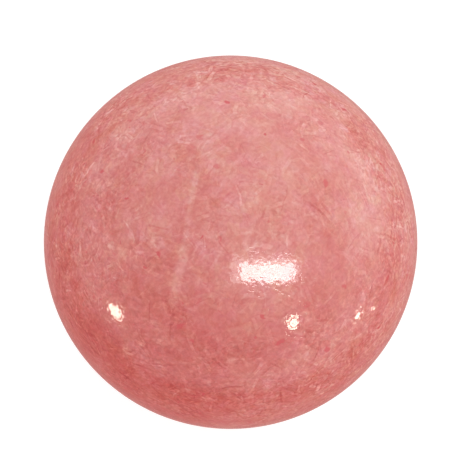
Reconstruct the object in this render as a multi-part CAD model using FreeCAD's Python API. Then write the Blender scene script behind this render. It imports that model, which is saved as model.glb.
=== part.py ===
# A cue ball for a coin-operated pool table, in millimetres.
#
# The ball is one of a table's set in size and weight, and differs from the others only in that
# a magnet beside the return track can pull it aside. It is built in layers, from the middle out:
#   core              a plain resin ball
#   iron_layer_lower  two half bowls of iron-filled resin, bonded round the core, which meet in
#   iron_layer_upper  a lap joint at the equator: the lower half's lip stands inside the upper
#   outer_shell       the coloured resin that the cue strikes, cast round the layer with no seam
#
# The frame's origin is the ball's centre. +Z is up, through the middle of both half bowls.
import FreeCAD
import Part
import os

from FreeCAD import Vector

# Driving sizes.
BALL_DIAMETER = 57.15
SHELL_WALL = 7.5
IRON_LAYER_WALL = 2.0
LIP_WALL = 1.0
LIP_HEIGHT = 2.0

# Room for glue in the lap joint, beside the lip and above it.
LIP_SIDE_GAP = 0.05
LIP_END_GAP = 0.15

# What follows from them: each layer is seated on the one inside it.
BALL_RADIUS = BALL_DIAMETER / 2
IRON_LAYER_RADIUS = BALL_RADIUS - SHELL_WALL
CORE_RADIUS = IRON_LAYER_RADIUS - IRON_LAYER_WALL
LIP_RADIUS = CORE_RADIUS + LIP_WALL


def hollow_ball(outer_radius, inner_radius):
    """A ball with a round hollow in its middle."""
    return Part.makeSphere(outer_radius).cut(Part.makeSphere(inner_radius))


def disc(radius, bottom, height):
    """A round block on the Z axis."""
    return Part.makeCylinder(radius, height, Vector(0, 0, bottom))


def core():
    return Part.makeSphere(CORE_RADIUS)


def iron_layer_lower():
    """The lower half bowl, with the inner part of its rim carried up as a lip."""
    below_equator = disc(BALL_RADIUS, -BALL_RADIUS, BALL_RADIUS)
    lip = disc(LIP_RADIUS, 0, LIP_HEIGHT)
    layer = hollow_ball(IRON_LAYER_RADIUS, CORE_RADIUS)
    return layer.common(below_equator.fuse(lip))


def iron_layer_upper():
    """The upper half bowl, with its rim cut away inside to clear the lip."""
    above_equator = disc(BALL_RADIUS, 0, BALL_RADIUS)
    rebate = disc(LIP_RADIUS + LIP_SIDE_GAP, 0, LIP_HEIGHT + LIP_END_GAP)
    layer = hollow_ball(IRON_LAYER_RADIUS, CORE_RADIUS)
    return layer.common(above_equator).cut(rebate)


def outer_shell():
    return hollow_ball(BALL_RADIUS, IRON_LAYER_RADIUS)


def write_node(name, shape):
    """Writes one node's STEP file and prints what it measures."""
    solids = shape.Solids
    box = shape.BoundBox
    print(
        f"{name}: {len(solids)} solid, valid {shape.isValid()}, {shape.Volume / 1000:.3f} cm3, "
        f"{box.XLength:.2f} x {box.YLength:.2f} x {box.ZLength:.2f} mm"
    )
    Part.makeCompound(solids).exportStep(f"parts/{name}.step")


os.makedirs("parts", exist_ok=True)
write_node("core", core())
write_node("iron_layer_lower", iron_layer_lower())
write_node("iron_layer_upper", iron_layer_upper())
write_node("outer_shell", outer_shell())
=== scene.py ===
# %% [markdown]
# # A mottled pink cue ball
#
# This lesson finishes a cue ball for a coin-operated pool table. The ball is an assembly: a core of
# plain resin, two half bowls of iron-filled resin round it, and an outer shell of pink cast resin
# that hides them both. The CAD model fixes every size and place. Blender adds what CAD can't say:
# a true, smooth, polished surface, and the cloudy, flaky mottle that runs all through the resin.

# %% The frame and its sizes
import math

import bpy
from mathutils import Matrix, Vector


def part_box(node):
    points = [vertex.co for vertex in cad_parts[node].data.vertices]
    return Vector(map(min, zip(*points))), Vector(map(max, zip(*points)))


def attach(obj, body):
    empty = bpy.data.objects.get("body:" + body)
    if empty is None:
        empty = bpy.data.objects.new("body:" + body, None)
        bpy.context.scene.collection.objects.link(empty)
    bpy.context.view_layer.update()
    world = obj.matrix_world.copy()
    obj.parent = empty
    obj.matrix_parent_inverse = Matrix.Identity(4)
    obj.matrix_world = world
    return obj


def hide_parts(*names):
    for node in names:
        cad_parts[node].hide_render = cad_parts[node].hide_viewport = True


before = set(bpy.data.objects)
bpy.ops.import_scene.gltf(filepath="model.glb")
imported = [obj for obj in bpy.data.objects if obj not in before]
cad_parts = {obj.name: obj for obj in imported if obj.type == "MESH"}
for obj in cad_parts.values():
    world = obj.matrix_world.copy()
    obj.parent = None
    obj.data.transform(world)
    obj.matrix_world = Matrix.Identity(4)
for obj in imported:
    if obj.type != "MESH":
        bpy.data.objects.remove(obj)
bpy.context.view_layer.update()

MM = 0.001

ball_low, ball_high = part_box("outer_shell")
layer_low, layer_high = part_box("iron_layer_lower")
ball_radius = (ball_high.z - ball_low.z) / 2
hollow_radius = (layer_high.x - layer_low.x) / 2
print(f"ball radius {ball_radius / MM:.3f} mm, hollow radius {hollow_radius / MM:.3f} mm")

# %% [markdown]
# ## The camera
#
# The ball is seen from almost straight above, from close by, the way it is seen on a table by
# someone who leans over it. From there a pale floor is all that lies behind it. A ball looks the
# same from everywhere, so what tells the camera's height is the lamps: their glints all sit low on
# the ball, and low lamps can only show there if the camera looks down. The lens is worked out from
# how much of the picture the ball fills. A small shift of the lens puts the ball in its place in
# the picture without turning the camera.

# %% Camera
CAMERA_ELEVATION = math.radians(85)
CAMERA_DISTANCE = 4.0 * ball_radius
NEAREST_SEEN = 0.1 * ball_radius
BALL_SHARE_OF_FRAME = 0.7865
BALL_RIGHT_OF_MIDDLE = -0.0145
BALL_ABOVE_MIDDLE = -0.0099

to_camera = Vector((0, -math.cos(CAMERA_ELEVATION), math.sin(CAMERA_ELEVATION)))
camera_right = Vector((1, 0, 0))
camera_up = to_camera.cross(camera_right)
rim_slope = math.tan(math.asin(ball_radius / CAMERA_DISTANCE))

camera_data = bpy.data.cameras.new("Camera")
camera_data.lens = camera_data.sensor_width / 2 * BALL_SHARE_OF_FRAME / rim_slope
camera_data.shift_x = -BALL_RIGHT_OF_MIDDLE
camera_data.shift_y = -BALL_ABOVE_MIDDLE
camera_data.clip_start = NEAREST_SEEN
camera = bpy.data.objects.new("Camera", camera_data)
camera.location = to_camera * CAMERA_DISTANCE
camera.rotation_euler = to_camera.to_track_quat("Z", "Y").to_euler()
bpy.context.scene.collection.objects.link(camera)
bpy.context.scene.camera = camera
print(f"camera: lens {camera_data.lens:.1f} mm, {CAMERA_DISTANCE / MM:.0f} mm from the centre")

# %% [markdown]
# ## Sums that become nodes
#
# The finishes below are long sums: masks added, taken away and multiplied. Wiring them by hand
# would bury the idea in boxes, so the small class `Wire` wraps a node's output and lets Python's
# own operators add the Math nodes. Vectors get Vector Math nodes in the same way. A `Recipe` holds
# one node tree, and its `node` method makes any other node: its settings go in first, then its
# inputs.


# %% A node's output that can be added and multiplied
class Wire:
    """One node's output, which works like a number or a vector in a sum."""

    def __init__(self, recipe, socket):
        self.recipe = recipe
        self.socket = socket

    def is_vector(self):
        """True for a vector, and for a colour, which is a vector of its red, green and blue."""
        return self.socket.type in ("VECTOR", "RGBA")

    def sum(self, operation, *inputs):
        """Adds a Math node, or a Vector Math node if any input is a vector."""
        vector = any(isinstance(i, Wire) and i.is_vector() for i in inputs)
        kind = "ShaderNodeVectorMath" if vector else "ShaderNodeMath"
        return self.recipe.node(kind, {"operation": operation}, dict(enumerate(inputs))).first()

    def __add__(self, other):
        return self.sum("ADD", self, other)

    __radd__ = __add__

    def __sub__(self, other):
        return self.sum("SUBTRACT", self, other)

    def __rsub__(self, other):
        return self.sum("SUBTRACT", other, self)

    def __mul__(self, other):
        other_is_vector = isinstance(other, Wire) and other.is_vector()
        if other_is_vector and not self.is_vector():
            return other * self
        if self.is_vector() and not other_is_vector:
            inputs = {0: self, "Scale": other}
            return self.recipe.node("ShaderNodeVectorMath", {"operation": "SCALE"}, inputs).first()
        return self.sum("MULTIPLY", self, other)

    __rmul__ = __mul__

    def __truediv__(self, other):
        return self.sum("DIVIDE", self, other)

    def size(self):
        """How large a number is, whichever its sign."""
        return self.sum("ABSOLUTE", self)

    def most(self, other):
        """The larger of this and another number."""
        return self.sum("MAXIMUM", self, other)

    def root(self):
        """The square root."""
        return self.sum("POWER", self, 0.5)

    def dot(self, other):
        return self.sum("DOT_PRODUCT", self, other)

    def cross(self, other):
        return self.sum("CROSS_PRODUCT", self, other)

    def unit(self):
        """The same direction, one long."""
        return self.sum("NORMALIZE", self)

    def step(self, start, end, at_start=0.0, at_end=1.0):
        """A smooth step, from at_start where this is start to at_end where it is end."""
        inputs = {
            "Value": self,
            "From Min": start,
            "From Max": end,
            "To Min": at_start,
            "To Max": at_end,
        }
        settings = {"interpolation_type": "SMOOTHSTEP"}
        return self.recipe.node("ShaderNodeMapRange", settings, inputs).first()


# %% A node tree and its one way of making a node
class Made:
    """A node that has just been made, and its outputs."""

    def __init__(self, recipe, node):
        self.recipe = recipe
        self.sockets = [socket for socket in node.outputs if socket.enabled]

    def output(self, name):
        return Wire(self.recipe, next(s for s in self.sockets if s.name == name))

    def first(self):
        return Wire(self.recipe, self.sockets[0])


class Recipe:
    """A node tree that is being filled."""

    def __init__(self, tree):
        self.tree = tree
        tree.nodes.clear()

    def node(self, kind, settings=None, inputs=None):
        """Makes a node. Settings go in first, and inputs are values or wires, by name or number."""
        node = self.tree.nodes.new(kind)
        for name, value in (settings or {}).items():
            if name == "stops":
                self.fill_ramp(node.color_ramp.elements, value)
            else:
                setattr(node, name, value)
        for name, value in (inputs or {}).items():
            if isinstance(name, int):
                socket = node.inputs[name]
            else:
                socket = next(s for s in node.inputs if s.name == name and s.enabled)
            if isinstance(value, Wire):
                self.tree.links.new(value.socket, socket)
            else:
                socket.default_value = value
        return Made(self, node)

    def fill_ramp(self, stops, colours):
        """Spreads the colours evenly over a ramp, which starts with one stop at each end."""
        stops[0].color = colours[0]
        stops[1].color = colours[-1]
        parts = len(colours) - 1
        for i in range(1, parts):
            stops.new(i / parts).color = colours[i]

    def vector(self, x, y, z):
        return self.node("ShaderNodeCombineXYZ", {}, {"X": x, "Y": y, "Z": z}).first()

    def mix(self, share, base, other):
        """The base colour, with this share of it turned into the other one."""
        inputs = {"Factor": share, "A": base, "B": other}
        return self.node("ShaderNodeMix", {"data_type": "RGBA"}, inputs).first()

    def relief(self, height, depth):
        """The tilt of a surface that stands this deep, in metres, for each 1 of height."""
        inputs = {"Strength": 1.0, "Distance": depth, "Height": height}
        return self.node("ShaderNodeBump", {}, inputs).output("Normal")

    def surface(self, inputs):
        """Ends the tree with a shader that has these inputs."""
        shader = self.node("ShaderNodeBsdfPrincipled", {}, inputs)
        self.node("ShaderNodeOutputMaterial", {}, {"Surface": shader.first()})

    def report(self, step):
        print(f"{step}: {len(self.tree.nodes)} nodes so far")


def new_finish(name):
    """A new material and its empty node tree."""
    material = bpy.data.materials.new(name)
    material.use_nodes = True
    return material, Recipe(material.node_tree)


# %% [markdown]
# ## The room's soft light
#
# The light has two parts, and the first is the room, which gives the ball its colour: a soft,
# nearly even light from all round, a little brighter from the right and from beyond. It could be a
# ring of large lamps, but a world shader is smoother and needs no place to stand. Along the horizon
# it is nowhere dimmer than white, so the ball has plain white behind it from every side. Near its
# rim a polished ball mirrors what lies below the horizon. That is a dull rose here, as if the ball
# stood on a table of its own colour, so that the rim stays rose and doesn't turn white or grey.

# %% The room's soft light
WALL_LIGHT = 1.12
LEAST_WALL_LIGHT = 1.02
CEILING_DIM = 0.08
BRIGHT_SIDE = (0.27, 0.15, 0.0)
ROOM_COLOUR = (1.0, 1.0, 0.995)
BELOW_COLOUR = (0.60, 0.29, 0.27, 1.0)
ALL_BELOW = -0.35
ALL_ROOM = -0.02

world = bpy.data.worlds.new("Room")
world.use_nodes = True
bpy.context.scene.world = world
room = Recipe(world.node_tree)
direction = room.node("ShaderNodeTexCoord").output("Generated")
rise = direction.dot((0.0, 0.0, 1.0))
walls = (WALL_LIGHT + direction.dot(BRIGHT_SIDE)).most(LEAST_WALL_LIGHT)
brightness = walls - rise.most(0.0) * CEILING_DIM
room_light = room.vector(*ROOM_COLOUR) * brightness
sky = room.mix(rise.step(ALL_BELOW, ALL_ROOM), BELOW_COLOUR, room_light)
background = room.node("ShaderNodeBackground", {}, {"Color": sky})
room.node("ShaderNodeOutputWorld", {}, {"Surface": background.first()})
room.report("room")

# %% [markdown]
# ## The lamps
#
# The lamps give the ball its polish: a long softbox and a few small warm lamps, each of which shows
# in the ball as a glint. They could be pushed about until the glints look right, but a polished
# ball is a mirror, so the sum can be done instead. A ray goes from the camera to the point of the
# ball where the glint should sit and is turned back by the surface, and the lamp stands somewhere
# along it. Where the rays to the glint's edges land gives the lamp its size and its turn.

# %% Where a lamp stands for its glint to show at a chosen place on the ball


def sight(right, up):
    """The camera's ray to this share of the ball's radius right of and above its middle."""
    return (rim_slope * (camera_right * right + camera_up * up) - to_camera).normalized()


def ball_point(right, up):
    """The point of the ball that this ray meets."""
    start = to_camera * CAMERA_DISTANCE
    ray = sight(right, up)
    ahead = start.dot(ray)
    reach = -ahead - math.sqrt(ahead ** 2 - start.length_squared + ball_radius ** 2)
    return start + ray * reach


def lamp_ray(right, up):
    """The glint's point on the ball and the direction from it to the lamp."""
    point = ball_point(right, up)
    return point, sight(right, up).reflect(point.normalized())


middle_point, middle_aim = lamp_ray(0, 0)
print(f"middle of the view: {middle_point.length / MM:.3f} mm out, facing {middle_aim.z:.3f} up")

# %% How large a lamp is for its glint to have a chosen size and tilt


def lamp_shape(glint, size, tilt, centre, aim):
    """The lamp's way across, its width and its height."""
    tilt_right, tilt_up = math.cos(math.radians(tilt)), math.sin(math.radians(tilt))
    half_width, half_height = size[0] / 2, size[1] / 2

    def reach(right, up):
        """From the lamp's centre to what shows this far right of and above the glint's middle."""
        spot, ray = lamp_ray(glint[0] + right, glint[1] + up)
        return spot + ray * ((centre - spot).dot(aim) / ray.dot(aim)) - centre

    right_way = reach(tilt_right * half_width, tilt_up * half_width)
    up_way = reach(-tilt_up * half_height, tilt_right * half_height)
    longer_way = right_way if half_width > half_height else up_way.cross(aim)
    across = longer_way.normalized()
    width = 2 * abs(right_way.dot(across))
    height = 2 * abs(up_way.dot(aim.cross(across)))
    return across, width, height


def add_lamp(name, glint, size, tilt, distance, radiance, colour, shape="ELLIPSE"):
    """A flat lamp this many metres from the ball, which shows in it as the glint asked for.

    The glint's place, width and height are shares of the ball's radius. Its tilt is in degrees,
    anticlockwise. Only the polish sees the lamp: the room alone lights the resin.
    """
    point, aim = lamp_ray(*glint)
    centre = point + aim * distance
    across, width, height = lamp_shape(glint, size, tilt, centre, aim)

    data = bpy.data.lights.new(name, "AREA")
    data.shape = shape
    data.size = width
    data.size_y = height
    area = width * height * (math.pi / 4 if shape == "ELLIPSE" else 1)
    data.energy = radiance * area * math.pi
    data.color = colour
    lamp = bpy.data.objects.new(name, data)
    lamp.location = centre
    lamp.rotation_euler = Matrix((across, aim.cross(across), aim)).transposed().to_euler()
    lamp.visible_camera = False
    lamp.visible_diffuse = False
    bpy.context.scene.collection.objects.link(lamp)
    above = (centre.z - ball_low.z) / MM
    print(f"{name}: {width / MM:.0f} x {height / MM:.0f} mm, {above:.0f} mm above the floor")


# %% The softbox and the small lamps
WHITE = (1.0, 1.0, 0.985)
WARM = (1.0, 0.90, 0.72)

# The softbox has a bright middle and a fainter border, so it is two lamps, one behind the other.
add_lamp(
    "Softbox", glint=(0.200, -0.162), size=(0.288, 0.098), tilt=2,
    distance=0.50, radiance=12.0, colour=WHITE, shape="RECTANGLE",
)
add_lamp(
    "SoftboxEdge", glint=(0.188, -0.155), size=(0.365, 0.138), tilt=2,
    distance=0.51, radiance=3.4, colour=WHITE, shape="RECTANGLE",
)
add_lamp(
    "LampLeft", glint=(-0.617, -0.373), size=(0.045, 0.102), tilt=41,
    distance=0.30, radiance=21, colour=WARM,
)
add_lamp(
    "LampRight", glint=(0.336, -0.431), size=(0.062, 0.075), tilt=10,
    distance=0.30, radiance=24, colour=WARM,
)
add_lamp(
    "LampFarRight", glint=(0.682, -0.390), size=(0.017, 0.048), tilt=-34,
    distance=0.12, radiance=30, colour=WARM,
)
add_lamp(
    "LampSpark", glint=(0.762, -0.350), size=(0.009, 0.024), tilt=-24,
    distance=0.10, radiance=25, colour=WARM,
)

# %% [markdown]
# ## The floor
#
# The ball stands on a plain pale floor, at the lowest point that the CAD model gives. It is wide
# enough that no edge shows from the side, and it is part of the stage, not of the object. It glows
# a little, so that it comes out as white paper with a soft shadow under the ball. The polish
# doesn't mirror it, because the room's rose is what the rim should show.

# %% Floor
FLOOR_SIZE = 6.0
FLOOR_GREY = 0.92
FLOOR_GLOW = 0.24
PAPER_WHITE = (1.0, 1.0, 1.0, 1.0)

bpy.ops.object.select_all(action="DESELECT")
bpy.ops.mesh.primitive_plane_add(size=FLOOR_SIZE, location=(0, 0, ball_low.z))
floor = bpy.context.object
floor.name = "Floor"
bpy.ops.object.transform_apply(location=True)

floor_finish, card = new_finish("Pale floor")
card.surface({
    "Base Color": (FLOOR_GREY, FLOOR_GREY, FLOOR_GREY, 1),
    "Roughness": 0.9,
    "Specular IOR Level": 0.0,
    "Emission Color": PAPER_WHITE,
    "Emission Strength": FLOOR_GLOW,
})
floor.data.materials.append(floor_finish)
floor.visible_glossy = False
print(f"floor: {FLOOR_SIZE:.0f} m wide, {ball_low.z / MM:.3f} mm from the ball's centre")

# %% [markdown]
# ## The shell's shape
#
# The shell is a hollow ball with a wall of solid resin. A round ball made of rings, like a globe,
# has pinched poles, where a polish shows star-shaped flaws. A cube whose faces are divided again
# and again and then pulled out to a true sphere has no poles, and its faces are all nearly the same
# size. The six faces of the cube also unroll into six tidy squares, so the mottle can be baked
# evenly. The inner wall is a second, coarser ball turned inside out: nobody sees it, but a shell
# has one.


# %% A ball made from a cube
def unroll(cube, left, bottom, width, height, gap):
    """Gives each of the cube's six faces its own field in a block of three by two."""
    layer = cube.data.uv_layers[0]
    layer.name = "OFBake"
    corners = ((0, 0), (1, 0), (1, 1), (0, 1))
    for face in cube.data.polygons:
        row, column = divmod(face.index, 3)
        for loop, (u, v) in zip(face.loop_indices, corners):
            across = left + width * (column + gap + u * (1 - 2 * gap)) / 3
            along = bottom + height * (row + gap + v * (1 - 2 * gap)) / 2
            layer.data[loop].uv = (across, along)


def cube_ball(name, radius, divisions, field):
    """A true sphere of nearly even four-sided faces."""
    bpy.ops.object.select_all(action="DESELECT")
    bpy.ops.mesh.primitive_cube_add(size=2 * radius)
    ball = bpy.context.object
    ball.name = name
    unroll(ball, **field)

    rounding = ball.modifiers.new("Rounding", "SUBSURF")
    rounding.levels = divisions
    rounding.render_levels = divisions
    rounding.uv_smooth = "NONE"
    bpy.ops.object.modifier_apply(modifier=rounding.name)

    truing = ball.modifiers.new("Truing", "CAST")
    truing.cast_type = "SPHERE"
    truing.factor = 1.0
    truing.radius = radius
    truing.use_radius_as_size = True
    bpy.ops.object.modifier_apply(modifier=truing.name)

    reaches = [corner.co.length / MM for corner in ball.data.vertices]
    print(
        f"{name}: {len(ball.data.polygons)} faces, "
        f"radius {min(reaches):.4f} to {max(reaches):.4f} mm"
    )
    return ball


# %% The outer wall, the inner wall and the two as one piece
OUTER_DIVISIONS = 7
INNER_DIVISIONS = 4
OUTER_FIELD = {"left": 0.0, "bottom": 0.0, "width": 1.0, "height": 0.94, "gap": 0.008}
INNER_FIELD = {"left": 0.0, "bottom": 0.95, "width": 0.10, "height": 0.05, "gap": 0.06}

inner_wall = cube_ball("inner_wall", hollow_radius, INNER_DIVISIONS, INNER_FIELD)
bpy.ops.object.mode_set(mode="EDIT")
bpy.ops.mesh.select_all(action="SELECT")
bpy.ops.mesh.flip_normals()
bpy.ops.object.mode_set(mode="OBJECT")

shell = cube_ball("resin_shell", ball_radius, OUTER_DIVISIONS, OUTER_FIELD)
inner_wall.select_set(True)
bpy.ops.object.join()
bpy.ops.object.shade_smooth()
print(f"resin_shell: {2 * len(shell.data.polygons)} triangles")

# %% [markdown]
# ## The mottle and its layout
#
# The pink resin is rose with flakes, short fibres and soft clouds of paler and deeper resin in it.
# An image wrapped round the ball would smear or show a seam. The mottle is built from nodes in the
# ball's own space instead, as if it ran all through the resin, and the polish cut across it.
#
# All the mottle is one number, the paleness: each step below makes its part of it, and a later
# one adds them up and turns the whole into colour. A kind of mark has a weight for how much paler
# it makes the resin, and the finest ones have a second for how much they shade it. All places and
# sizes are in millimetres. Before anything is laid out, its space is bent by a soft push and torn
# by a finer one, as when resin is stirred, so that no flake keeps a ruled edge.

# %% The mottle's layout
BEND_SIZE, BEND_REACH = 1.8, 0.7
TEAR_SIZE, TEAR_REACH = 0.45, 0.5
HALF_WAY = (0.5, 0.5, 0.5)


def millimetres(recipe):
    """Where each point of a piece is, in millimetres from the ball's centre."""
    return recipe.node("ShaderNodeTexCoord").output("Object") * (1 / MM)


def sway(place, size, reach):
    """A soft push, about this far either way, that bends whatever is laid out after it."""
    inputs = {"Vector": place, "Scale": 1 / size}
    push = place.recipe.node("ShaderNodeTexNoise", {"noise_dimensions": "3D"}, inputs)
    return (push.output("Color") - HALF_WAY) * reach


pink_finish, resin = new_finish("Mottled pink resin")
place = millimetres(resin)
outward = place.unit()
bent = place + sway(place, BEND_SIZE, BEND_REACH)
torn = bent + sway(place, TEAR_SIZE, TEAR_REACH)
resin.report("layout")

# %% [markdown]
# ## Broad clouds and painted light
#
# The whole ball is painted paler toward the side the room is brighter from: that is painted light.
# Two wide patches low on the ball are deeper and one above its middle is paler. They are partly
# painted shade and light along that same side, and partly the casting's own uneven pigment.
# Pigment never spreads quite evenly through a casting, so over it all lie clouds of every size,
# which are one noise texture with a lot of detail. A slow change like this is what the eye takes
# for the ball's colour, so it comes first, and the flakes are laid on it.

# %% Broad clouds and painted light
CLOUD_SIZE = 8.0
CLOUD_CONTRAST = 1.32
# Painted light: the ball's colour is paler toward the side the room is brighter from.
PAINTED_LIGHT_SIDE = (0.27, 0.365, 0.0)
# The three wide patches are partly painted shade and light along that side, partly the resin's own
# pigment.
LOWER_LEFT_PIGMENT_AND_PAINTED_SHADE = 0.38
LOWER_RIGHT_PIGMENT_AND_PAINTED_SHADE = 0.12
UPPER_MIDDLE_PIGMENT_AND_PAINTED_LIGHT = 0.08


def noise(place, size, detail=2.0, roughness=0.5, warp=0.0):
    """Soft noise about zero, whose patches are about this many millimetres across."""
    inputs = {
        "Vector": place,
        "Scale": 1 / size,
        "Detail": detail,
        "Roughness": roughness,
        "Distortion": warp,
    }
    texture = place.recipe.node("ShaderNodeTexNoise", {"noise_dimensions": "3D"}, inputs)
    return texture.first() - 0.5


def wide_patch(middle, reach):
    """A soft patch round one point of the ball, which fades out this many degrees from it."""
    return outward.dot(tuple(middle.normalized())).step(math.cos(math.radians(reach)), 1.0)


clouds = noise(place, CLOUD_SIZE, detail=5.0, roughness=0.55, warp=0.8) * CLOUD_CONTRAST
# The pale side is painted light; the wide patches are partly painted shade and light, partly
# pigment.
lower_left_pigment_and_painted_shade = wide_patch(ball_point(-0.56, -0.66), reach=42)
lower_right_pigment_and_painted_shade = wide_patch(ball_point(0.52, -0.52), reach=32)
upper_middle_pigment_and_painted_light = wide_patch(ball_point(-0.10, 0.30), reach=30)
painted_light_and_pigment = (
    outward.dot(PAINTED_LIGHT_SIDE)
    - lower_left_pigment_and_painted_shade * LOWER_LEFT_PIGMENT_AND_PAINTED_SHADE
    - lower_right_pigment_and_painted_shade * LOWER_RIGHT_PIGMENT_AND_PAINTED_SHADE
    + upper_middle_pigment_and_painted_light * UPPER_MIDDLE_PIGMENT_AND_PAINTED_LIGHT
)
resin.report("clouds")

# %% [markdown]
# ## A foam of cells
#
# Every kind of flake and fibre is made in the same way. The resin is filled with a foam of cells,
# with one flake to a cell. The cell's own random colour gives its flake a direction in the ball's
# surface. How far a point lies from the cell's middle, along that direction and across it, is all
# that a flake's outline needs. Thousands of modelled flakes would look the same at a far greater
# cost, and they would stick out of the polish.


# %% A foam of cells, each with its own direction in the surface
# Each seed moves its foam this far, in millimetres, so that no two foams are alike.
SEED_STEP = (17.3, 5.1, 29.7)


class Cells:
    """Cells about this many millimetres across, with three random numbers for each, the lots."""

    def __init__(self, place, seed, size):
        spot = place + tuple(seed * step for step in SEED_STEP)
        recipe = place.recipe
        foam = recipe.node(
            "ShaderNodeTexVoronoi",
            {"feature": "F1", "voronoi_dimensions": "3D"},
            {"Vector": spot, "Scale": 1 / size, "Randomness": 1.0},
        )
        tint = foam.output("Color")
        white_noise = {"noise_dimensions": "3D"}
        chance = recipe.node("ShaderNodeTexWhiteNoise", white_noise, {"Vector": tint})
        lots = recipe.node("ShaderNodeSeparateXYZ", {}, {"Vector": chance.output("Color")})
        self.lots = [lots.output(name) for name in "XYZ"]
        grain = outward.cross(tint - HALF_WAY).unit()
        from_middle = spot - foam.output("Position")
        self.along = grain.dot(from_middle)
        self.across = outward.cross(grain).dot(from_middle)
        self.buried = outward.dot(from_middle).size() / size

    def gamble(self, number):
        """One of the three random numbers, about zero."""
        return self.lots[number] - 0.5


small_cells = Cells(torn, seed=3, size=1.15)
tiny_cells = Cells(torn, seed=11, size=0.65)
resin.report("two foams")

# %% [markdown]
# ## Flakes and chips
#
# The flakes are bits of paler and deeper resin, longer than they are wide, in three sizes. They
# fade out at their edges, and those whose middle is buried deep under the polish show less. The
# chips are the foam's cells themselves, each a little paler or deeper than the next one.

# %% Flakes and chips
OUTLINE_FULL, OUTLINE_END = 1.2, 2.2
BURIED_DEEP, BURIED_LITTLE = 0.65, 0.1
LARGE_FLAKE_PALER, MIDDLE_FLAKE_PALER, SMALL_FLAKE_PALER = 0.30, 0.32, 0.36
CHIP_PALER, CHIP_SHADE = 0.24, 0.07


def flakes(cells, length, width, edge, bend, share_pale, rim=0.4):
    """One flake in each cell: paler than the resin in this share of the cells, or else deeper.

    The length and width are the middle ones, in millimetres. The edge is the share of the flake
    that fades out. The rim is how strongly a thin outline round it goes the other way.
    """
    first, second, third = cells.lots
    half_length = 0.5 * length * (0.5 + second)
    half_width = 0.5 * width * (0.5 + first)
    across = cells.across + cells.along * cells.along * ((first - 0.5) * bend)
    ends = (cells.along.size() / half_length).step(1.0, 1.0 - edge)
    nearness = across.size() / half_width
    body = nearness.step(1.0, 1.0 - edge)
    outline = nearness.step(OUTLINE_END, OUTLINE_FULL) - body
    near_polish = cells.buried.step(BURIED_DEEP, BURIED_LITTLE)
    strength = (third - (1 - share_pale)) * near_polish
    return ends * strength * (body - rim * outline)


def plain_flakes(seed, size, length, width):
    """Flakes with a soft edge and no outline, nearly half of them pale."""
    cells = Cells(torn, seed, size)
    return flakes(cells, length, width, edge=0.4, bend=0.05, share_pale=0.45, rim=0.0)


large_flakes = plain_flakes(seed=5, size=3.0, length=4.5, width=1.6)
middle_flakes = plain_flakes(seed=6, size=2.2, length=3.2, width=1.1)
small_flakes = plain_flakes(seed=7, size=1.5, length=2.2, width=0.8)
patches = (
    large_flakes * LARGE_FLAKE_PALER
    + middle_flakes * MIDDLE_FLAKE_PALER
    + small_flakes * SMALL_FLAKE_PALER
)
chips = small_cells.gamble(0) * CHIP_PALER + tiny_cells.gamble(0) * CHIP_PALER
resin.report("flakes and chips")

# %% [markdown]
# ## Strokes
#
# Between the flakes the resin looks combed: short soft lines lie side by side, and change direction
# from place to place. Noise that is stretched along each cell's own direction gives just that.

# %% Strokes
# How far apart in the noise the cells lie, so that no two have the same strokes.
APART = 50
LONG_STROKE_PALER, SHORT_STROKE_PALER = 0.75, 0.67
STROKE_SHADE = 0.16


def combed(cells, length, width):
    """Soft strokes about zero, which run along each cell's own direction."""
    far_apart = cells.lots[0] * APART
    stretched = resin.vector(cells.along / length, cells.across / width, far_apart)
    return noise(stretched, size=1.0, detail=1.0)


long_strokes = combed(Cells(torn, seed=1, size=2.4), length=1.6, width=0.46)
short_strokes = combed(Cells(torn, seed=2, size=1.6), length=1.2, width=0.36)
strokes = long_strokes * LONG_STROKE_PALER + short_strokes * SHORT_STROKE_PALER
resin.report("strokes")

# %% [markdown]
# ## Fibres, slivers and hairlines
#
# The thinnest things in the resin are flakes too, only far longer than they are wide. Fibres are
# soft and a little curved. Slivers are crisp and mostly pale, with a darker line along each side.
# Hairlines are the finest and mostly deep. Slivers and hairlines use the space that is bent but not
# torn, so they stay clean lines. Curves drawn one by one would be crisper still, but far too many
# are needed, all over the ball.

# %% Fibres, slivers and hairlines
FIBRE_PALER, FIBRE_SHADE = 0.4, 0.08
SLIVER_PALER, SLIVER_SHADE = 0.45, 0.06
HAIRLINE_PALER, HAIRLINE_SHADE = 0.8, 0.10

short_fibres = flakes(
    small_cells, length=1.6, width=0.42, edge=0.35, bend=0.30, share_pale=0.5
)
long_fibres = flakes(
    Cells(torn, seed=4, size=1.6), length=2.3, width=0.46, edge=0.35, bend=0.20, share_pale=0.5
)
fibres = short_fibres + long_fibres
slivers = flakes(
    Cells(bent, seed=13, size=1.9),
    length=2.4, width=0.46, edge=0.3, bend=0.04, share_pale=0.75, rim=0.55,
)
hairlines = flakes(
    Cells(bent, seed=9, size=2.8),
    length=3.4, width=0.30, edge=0.5, bend=0.10, share_pale=0.4, rim=0.0,
)
resin.report("fibres, slivers and hairlines")

# %% [markdown]
# ## Long pale streaks
#
# A few faint streaks run further than any flake, where pale resin was drawn out as the ball was
# cast. Most are left to chance. One is given its place, because it is the ball's one landmark: it
# runs down left of the middle in two parts, the lower part wider and plainer than the upper. Each
# part is the near side of a flat band of space that cuts the ball.

# %% Long pale streaks
STREAK_PALER = 0.2
UPPER_STREAK_PALER = 0.27
LOWER_STREAK_PALER = 0.38
STREAK_EDGE_START, STREAK_EDGE_END = 0.3, 1.3
STREAK_FADE = 0.25


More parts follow.
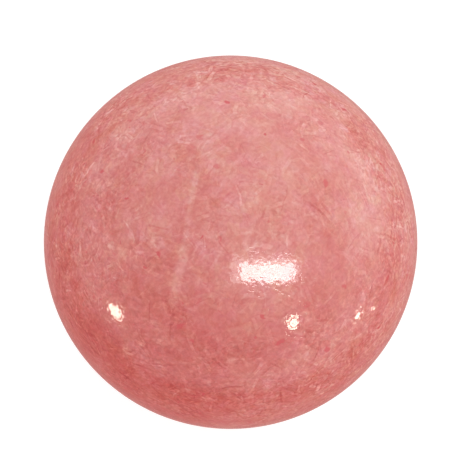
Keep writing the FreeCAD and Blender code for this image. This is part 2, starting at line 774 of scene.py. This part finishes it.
def band(start, end, half_width):
    """A straight streak from one point of the ball to another, this many millimetres wide."""
    middle = ((start + end) / 2).normalized()
    along_way = (end - start).normalized()
    across_way = middle.cross(along_way)
    half_length = (end - start).length / 2 / MM
    across = place.dot(tuple(across_way)).size() / half_width
    along = place.dot(tuple(along_way)).size() / half_length
    near_side = place.dot(tuple(middle)).step(0.0, 1.0)
    line = across.step(STREAK_EDGE_END, STREAK_EDGE_START) * along.step(1.0, 1.0 - STREAK_FADE)
    return line * near_side


streaks = flakes(
    Cells(torn, seed=8, size=9.0),
    length=11.0, width=1.0, edge=0.8, bend=0.02, share_pale=1.0, rim=0.0,
)
upper_streak = band(ball_point(-0.16, 0.45), ball_point(-0.25, -0.02), half_width=0.45)
lower_streak = band(ball_point(-0.23, 0.02), ball_point(-0.32, -0.36), half_width=0.72)
resin.report("streaks")

# %% [markdown]
# ## Calm and busy zones, and the whole mottle
#
# The mottle isn't equally strong all over. It is calmer on top of the ball and busier round its
# sides, and it comes and goes in wide patches. So all the small things are added up first, each
# with its own weight, and then multiplied by one slow number, the busyness. A fine grain fills what
# is left between them.

# %% Calm and busy zones, and the whole mottle
CALM_SIDE = (0.10, 0.10, 0.99)
CALM_START, CALM_FULL = 0.70, 0.97
CALM_SHARE = 0.42
LEAST_BUSY, MOST_BUSY = 0.85, 1.35
PATCHINESS = 0.15
GRAIN_SIZE = 0.4
GRAIN_PALER, GRAIN_SHADE = 0.2, 0.34

calm = outward.dot(CALM_SIDE).step(CALM_START, CALM_FULL)
coming_and_going = noise(place, size=5.0, detail=2.0).step(
    -PATCHINESS, PATCHINESS, LEAST_BUSY, MOST_BUSY
)
busy = coming_and_going * (1 - CALM_SHARE * calm)
grain = noise(place, GRAIN_SIZE, detail=2.0)
details = (
    patches + chips + strokes
    + fibres * FIBRE_PALER
    + grain * GRAIN_PALER
    + slivers * SLIVER_PALER
    + hairlines * HAIRLINE_PALER
)
paleness = (
    clouds + painted_light_and_pigment
    + busy * details
    + streaks * STREAK_PALER
    + upper_streak * UPPER_STREAK_PALER
    + lower_streak * LOWER_STREAK_PALER
)
resin.report("whole mottle")

# %% [markdown]
# ## From paleness to colour
#
# All of the resin's colours lie on one line, from deep rose to pale pink, because the flakes are
# the same resin with more white in it. So the paleness goes through one colour ramp. Mixing two
# colours would be simpler, but the line isn't straight: green and blue grow faster than red as the
# resin pales. That is why the ramp has many stops, worked out from one rule.

# %% The line of colours from deep rose to pale pink
ROSE = (0.618, 0.1905, 0.1675)
PALING = (0.19, 0.86, 0.875)
DARKEST = -1.6
PALEST = 0.8
RAMP_PARTS = 12


def paled(steps):
    """The resin's colour this many steps paler than its middle colour."""
    return (*(c * math.exp(p * steps) for c, p in zip(ROSE, PALING)), 1.0)


span = PALEST - DARKEST
ramp_colours = [paled(DARKEST + span * i / RAMP_PARTS) for i in range(RAMP_PARTS + 1)]
ramp_place = (paleness - DARKEST) * (1 / span)
ramp = resin.node("ShaderNodeValToRGB", {"stops": ramp_colours}, {"Fac": ramp_place})
print(f"colour ramp: {len(ramp_colours)} stops from", [round(c, 3) for c in ramp_colours[0][:3]])

# %% [markdown]
# ## Light, shade and hue
#
# Two slight changes keep the colours from all lying exactly on that line. The finest marks are also
# a little lighter or darker without turning pinker, and the hue drifts between a warm and a cool
# pink. Both are one tint that multiplies the ramp's colour. Its green and blue move apart for the
# hue.

# %% Light, shade and hue
SHADE_SIZE, SHADE_CONTRAST = 2.5, 0.06
HUE_SIZE, HUE_CONTRAST = 3.0, 0.24
CHIP_HUE = 0.06
# Far enough off in the noise for the slow shade not to follow the clouds.
ELSEWHERE = (40.0, 0.0, 0.0)

fine_shade = busy * (
    strokes * STROKE_SHADE
    + fibres * FIBRE_SHADE
    + slivers * SLIVER_SHADE
    + hairlines * HAIRLINE_SHADE
    + grain * GRAIN_SHADE
    + tiny_cells.gamble(1) * CHIP_SHADE
)
slow_shade = noise(place + ELSEWHERE, SHADE_SIZE, detail=3.0) * SHADE_CONTRAST
hue_drift = noise(place, HUE_SIZE, detail=4.0, roughness=0.6) * HUE_CONTRAST
hue = hue_drift + small_cells.gamble(1) * CHIP_HUE
shade = 1 + fine_shade + slow_shade
tint = resin.vector(shade, shade - hue, shade + hue)
resin.report("colour")

# %% [markdown]
# ## Red flecks
#
# Here and there a grain of red pigment didn't dissolve. Most cells of the foam hold none, so a
# fleck is a rare thing, and each one is an uneven oval. They are mixed over the finished colour,
# not added to the paleness, because their red isn't on the resin's own line of colours.

# %% Red flecks
RED_PIGMENT = (0.56, 0.060, 0.070, 1.0)
FLECK_BURIED_DEEP, FLECK_BURIED_LITTLE = 0.5, 0.3
FLECK_EDGE_END, FLECK_EDGE_START = 1.1, 0.5
LARGE_FLECK_RED, SMALL_FLECK_RED = 0.9, 0.8


def flecks(cells, radius, share):
    """A small uneven oval in this share of the cells."""
    first, second, third = cells.lots
    reach = radius * (0.5 + first)
    flatter = cells.across * cells.across * (1.5 + 2 * second)
    oval = (cells.along * cells.along + flatter).root()
    spot = (oval / reach).step(FLECK_EDGE_END, FLECK_EDGE_START)
    chosen = third.step(1 - share, 1.0)
    return spot * chosen * cells.buried.step(FLECK_BURIED_DEEP, FLECK_BURIED_LITTLE)


large_flecks = flecks(Cells(torn, seed=10, size=3.6), radius=0.50, share=0.28)
small_flecks = flecks(Cells(torn, seed=12, size=2.0), radius=0.24, share=0.22)
red = large_flecks * LARGE_FLECK_RED + small_flecks * SMALL_FLECK_RED
colour = resin.mix(red, ramp.output("Color") * tint, RED_PIGMENT)
resin.report("red flecks")

# %% [markdown]
# ## The polish
#
# A played ball is polished but not perfect. Wear leaves shallow dents, and the mottle's strokes and
# fibres stand a hair higher or lower than the resin round them. The relief is a few thousandths of
# a millimetre, far too little to model, so it is bump. It gives the glints their ragged edges. Over
# the sharp polish lies a weak and hazy coat: the fine scratches of play, which soften the colours.

# %% The polish
RELIEF_DEPTH = 0.020 * MM
DENT_SIZE = 0.45
DENT_HEIGHT = 0.52
MOTTLE_HEIGHT = 0.42
POLISH = 0.05
FIBRE_POLISH = 0.03

dents = noise(place, DENT_SIZE, detail=0.0)
height = dents * DENT_HEIGHT + busy * (strokes + fibres) * MOTTLE_HEIGHT
resin.surface({
    "Base Color": colour,
    "Roughness": POLISH - FIBRE_POLISH * fibres,
    "IOR": 1.5,
    "Coat Weight": 0.20,
    "Coat Roughness": 0.35,
    "Normal": resin.relief(height, RELIEF_DEPTH),
})
resin.report("pink resin")

# %% [markdown]
# ## The iron-filled resin
#
# The layer under the shell is resin loaded with iron powder, which a magnet in the table can pull.
# It is nearly black and matt, and speckled with the bright cut faces of the grains. One foam of
# cells does it: close to a cell's middle is a grain, which is metal, and the rest is black resin.

# %% Iron-filled resin
IRON_GRAIN_SIZE = 0.2
BLACK_RESIN = (0.045, 0.045, 0.05, 1)
CUT_IRON = (0.30, 0.29, 0.28, 1)
GRAIN_EDGE_END, GRAIN_EDGE_START = 0.32, 0.12
IRON_SWELL = 0.03
MATT_RESIN, CUT_POLISH, CUT_METALLIC = 0.72, 0.3, 0.8
IRON_RELIEF_DEPTH = 0.020 * MM

iron_finish, iron_resin = new_finish("Iron-filled resin")
iron_place = millimetres(iron_resin)
powder_inputs = {"Vector": iron_place, "Scale": 1 / IRON_GRAIN_SIZE}
powder = iron_resin.node("ShaderNodeTexVoronoi", {"feature": "F1"}, powder_inputs)
metal = powder.output("Distance").step(GRAIN_EDGE_END, GRAIN_EDGE_START)
swell = noise(iron_place, size=4.0, detail=3.0) * IRON_SWELL
iron_resin.surface({
    "Base Color": iron_resin.mix(metal, BLACK_RESIN, CUT_IRON),
    "Roughness": MATT_RESIN - CUT_POLISH * metal,
    "Metallic": CUT_METALLIC * metal,
    "Normal": iron_resin.relief(metal + swell, IRON_RELIEF_DEPTH),
})
iron_resin.report("iron-filled resin")

# %% [markdown]
# ## The core's resin
#
# The core is plain, unpainted cream resin. It has the faint cloudiness of a casting, and a satin
# surface with the marks of the sanding that the next layer bonds to.

# %% Core resin
DULL_CREAM = (0.48, 0.37, 0.24, 1)
PALE_CREAM = (0.66, 0.56, 0.42, 1)
SATIN, SANDING_ROUGHNESS = 0.45, 0.2
CORE_RELIEF_DEPTH = 0.010 * MM

core_finish, core_resin = new_finish("Core resin")
core_place = millimetres(core_resin)
cream = noise(core_place, size=7.0, detail=4.0, roughness=0.6, warp=0.8) + 0.5
sanding = noise(core_place, size=0.4, detail=3.0)
core_resin.surface({
    "Base Color": core_resin.mix(cream, DULL_CREAM, PALE_CREAM),
    "Roughness": SATIN + SANDING_ROUGHNESS * sanding,
    "Normal": core_resin.relief(sanding, CORE_RELIEF_DEPTH),
})
core_resin.report("core resin")

# %% [markdown]
# ## Putting the pieces in place
#
# The new shell stands for the CAD shell and takes its place on the only body. The layer and the
# core keep their CAD meshes, which are already right, and get their finishes.


# %% Finishes on the pieces
def dress(piece, finish):
    piece.data.materials.clear()
    piece.data.materials.append(finish)
    print(f"{piece.name}: {finish.name}")


dress(shell, pink_finish)
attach(shell, "root")
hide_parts("outer_shell")

dress(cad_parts["iron_layer_upper"], iron_finish)
dress(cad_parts["iron_layer_lower"], iron_finish)
dress(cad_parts["core"], core_finish)

# %% [markdown]
# ## The view transform
#
# The view transform is the plain one, so that a colour in a material is the colour in the picture.
# Looks may not make the object bigger.

# %% The view transform
bpy.context.scene.view_settings.view_transform = "Standard"
